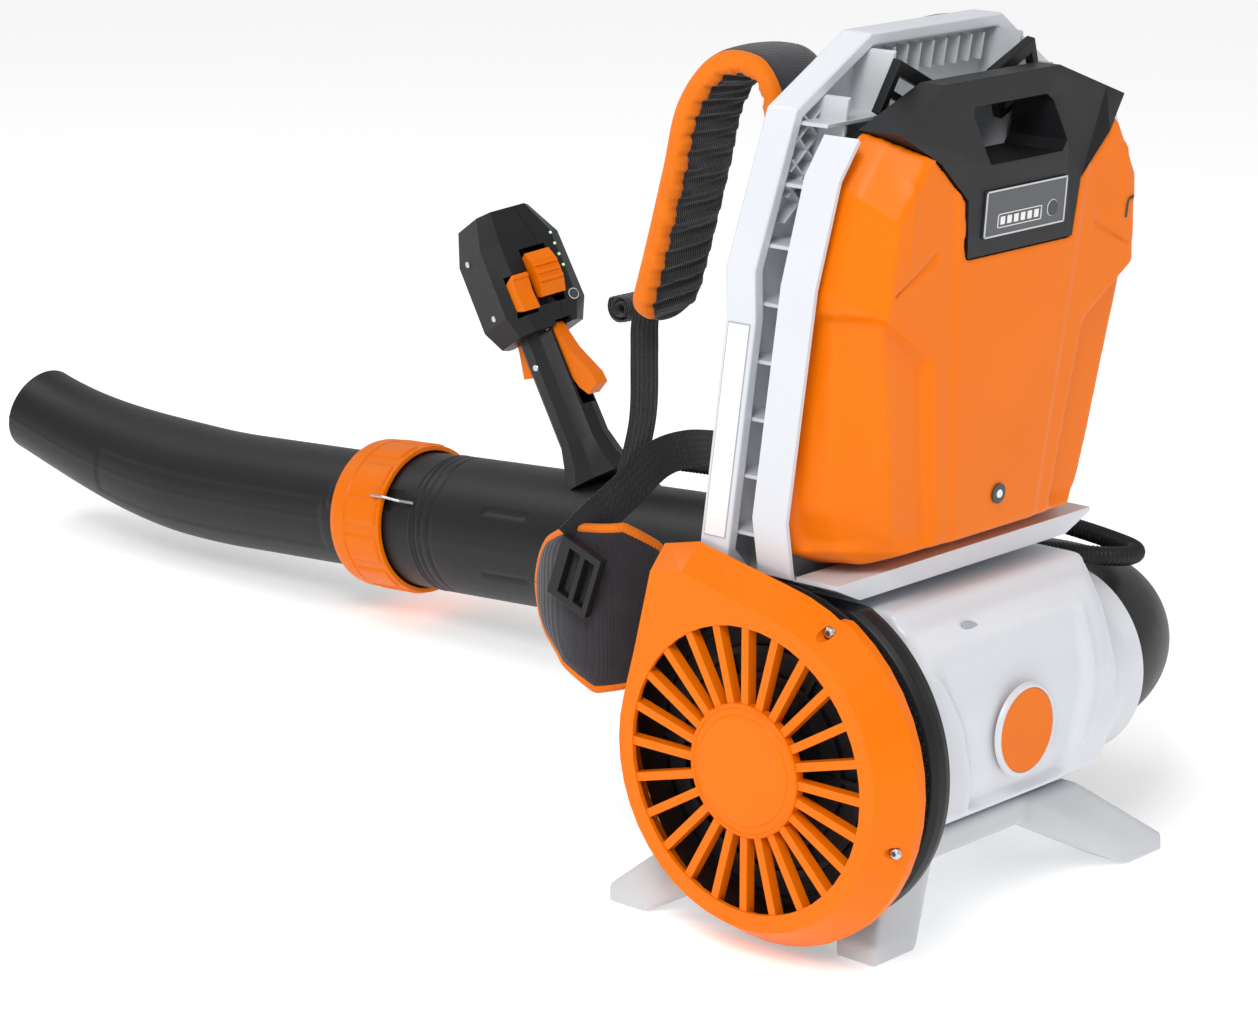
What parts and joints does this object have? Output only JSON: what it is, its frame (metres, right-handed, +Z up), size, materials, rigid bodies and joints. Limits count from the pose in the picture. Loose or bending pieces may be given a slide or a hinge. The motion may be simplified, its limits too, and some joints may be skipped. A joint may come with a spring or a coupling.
{
  "type": "backpack leaf blower",
  "caption": "Battery backpack leaf blower: axial fan housing on a splayed stand, clip-in battery, padded harness, swivelling blower tube with a control handle and a flattened nozzle.",
  "frame": {"origin": "middle of the footprint, on the ground under the stand and the tube", "axes": "+X towards the blower tube's side (the wearer's right hand), +Y forwards along the tube, +Z up"},
  "size_m": [0.4485, 1.2193, 0.534],
  "materials": {
    "black_nylon": "satin moulded black nylon",
    "black_rubber": "matt black rubber",
    "black_webbing": "woven black webbing",
    "cast_aluminium": "die cast",
    "cell_wrap": "blue shrink wrap",
    "charcoal_fabric": "woven charcoal cloth over foam",
    "circuit_board": "green solder mask",
    "copper_winding": "enamelled copper wire",
    "dark_grey_abs": "fine spark texture",
    "display_window": "smoked clear plastic",
    "light_grey_abs": "fine spark texture",
    "orange_abs": "satin gloss moulding",
    "white_abs": "satin gloss moulding",
    "zinc_steel": "zinc plated"
  },
  "bodies": {
    "pack": {"back_core": "light_grey_abs", "back_pad": "charcoal_fabric", "back_rim": "white_abs", "badge_disc": "orange_abs", "base_stand": "light_grey_abs", "battery_tray": "white_abs", "bearing_front": "zinc_steel", "bearing_rear": "zinc_steel", "cover_screw_lower": "zinc_steel", "cover_screw_upper": "zinc_steel", "cover_seal": "black_rubber", "hip_buckle_left": "black_nylon", "hip_buckle_right": "black_nylon", "hip_wing_left": "charcoal_fabric", "hip_wing_right": "charcoal_fabric", "housing_front": "white_abs", "housing_rear": "white_abs", "inlet_ring": "black_nylon", "intake_cover": "orange_abs", "intake_screen": "black_nylon", "lumbar_pad": "charcoal_fabric", "lumbar_plate": "light_grey_abs", "motor_case": "cast_aluminium", "motor_controller": "cast_aluminium", "outlet_collar": "white_abs", "power_socket": "black_nylon", "rear_panel": "white_abs", "shoulder_strap_left": "charcoal_fabric", "shoulder_strap_right": "charcoal_fabric", "stator_windings": "copper_winding", "strap_buckle_left": "black_nylon", "strap_buckle_right": "black_nylon", "strap_webbing_left": "black_webbing", "strap_webbing_right": "black_webbing"},
    "battery": {"battery_back_shell": "dark_grey_abs", "battery_cover": "orange_abs", "battery_top": "black_nylon", "cell_pack": "cell_wrap", "display_window": "display_window", "port_ring": "dark_grey_abs"},
    "battery_button": {"battery_button": "dark_grey_abs"},
    "elbow": {"bellows": "black_rubber", "elbow": "black_nylon"},
    "clamp_ring": {"clamp_ring": "orange_abs"},
    "tube": {"conduit": "black_rubber", "front_tube": "black_nylon", "handle_shell_left": "black_nylon", "handle_shell_right": "black_nylon", "main_tube": "black_nylon", "rear_tube": "black_nylon", "static_wire": "zinc_steel", "switch_board": "circuit_board"},
    "fan": {"impeller": "black_nylon", "rotor_shaft": "zinc_steel"},
    "lockout_lever": {"lockout_lever": "orange_abs"},
    "mode_rocker": {"mode_rocker": "orange_abs"},
    "nozzle": {"nozzle": "black_nylon"},
    "power_button": {"power_button": "dark_grey_abs"},
    "speed_slider": {"speed_slider": "orange_abs"},
    "trigger": {"trigger": "orange_abs"}
  },
  "joints": [
    {"name": "fan_spin", "type": "hinge", "parent": "pack", "child": "fan", "pos_m": [-0.0669, -0.499, 0.116], "axis": [1, 0, 0], "continuous": true},
    {"name": "battery_pull", "type": "slide", "parent": "pack", "child": "battery", "axis": [0, -1, 0], "range_m": [0, 0.08]},
    {"name": "battery_button_press", "type": "slide", "parent": "battery", "child": "battery_button", "axis": [0, 0.9968, -0.0797], "range_m": [0, 0.001], "stiffness_N_per_m": 400},
    {"name": "elbow_swing", "type": "hinge", "parent": "pack", "child": "elbow", "pos_m": [0.0881, -0.499, 0.116], "axis": [1, 0, 0], "range_deg": [-20, 40], "deforming": ["conduit"]},
    {"name": "tube_swing", "type": "hinge", "parent": "elbow", "child": "tube", "pos_m": [0.1667, -0.38172, 0.10883], "axis": [0, 0.061, 0.9981], "range_deg": [-12, 12], "deforming": ["conduit", "bellows"]},
    {"name": "clamp_ring_turn", "type": "hinge", "parent": "tube", "child": "clamp_ring", "pos_m": [0.1667, 0.1448, 0.07662], "axis": [0, 0.9981, -0.061], "range_deg": [0, 25]},
    {"name": "nozzle_slide", "type": "slide", "parent": "tube", "child": "nozzle", "axis": [0, 0.9981, -0.061], "range_m": [0, 0.03]},
    {"name": "trigger_pull", "type": "hinge", "parent": "tube", "child": "trigger", "pos_m": [0.1667, 0.04396, 0.23774], "axis": [-1, 0, 0], "range_deg": [0, 12], "stiffness_Nm_per_rad": 0.6, "springref_deg": -8.59},
    {"name": "lockout_press", "type": "hinge", "parent": "tube", "child": "lockout_lever", "pos_m": [0.1667, 0.01478, 0.24419], "axis": [1, 0, 0], "range_deg": [0, 8], "stiffness_Nm_per_rad": 0.6, "springref_deg": -8.59},
    {"name": "mode_rocker_tilt", "type": "hinge", "parent": "tube", "child": "mode_rocker", "pos_m": [0.16152, 0.02454, 0.26974], "axis": [0.9659, -0.2241, 0.1294], "range_deg": [-4, 4], "stiffness_Nm_per_rad": 1},
    {"name": "speed_slider_move", "type": "slide", "parent": "tube", "child": "speed_slider", "axis": [0, 0.5, 0.866], "range_m": [-0.004, 0.004]},
    {"name": "power_button_press", "type": "slide", "parent": "tube", "child": "power_button", "axis": [0.2588, 0.8365, -0.483], "range_m": [0, 0.0012], "stiffness_N_per_m": 400}
  ]
}
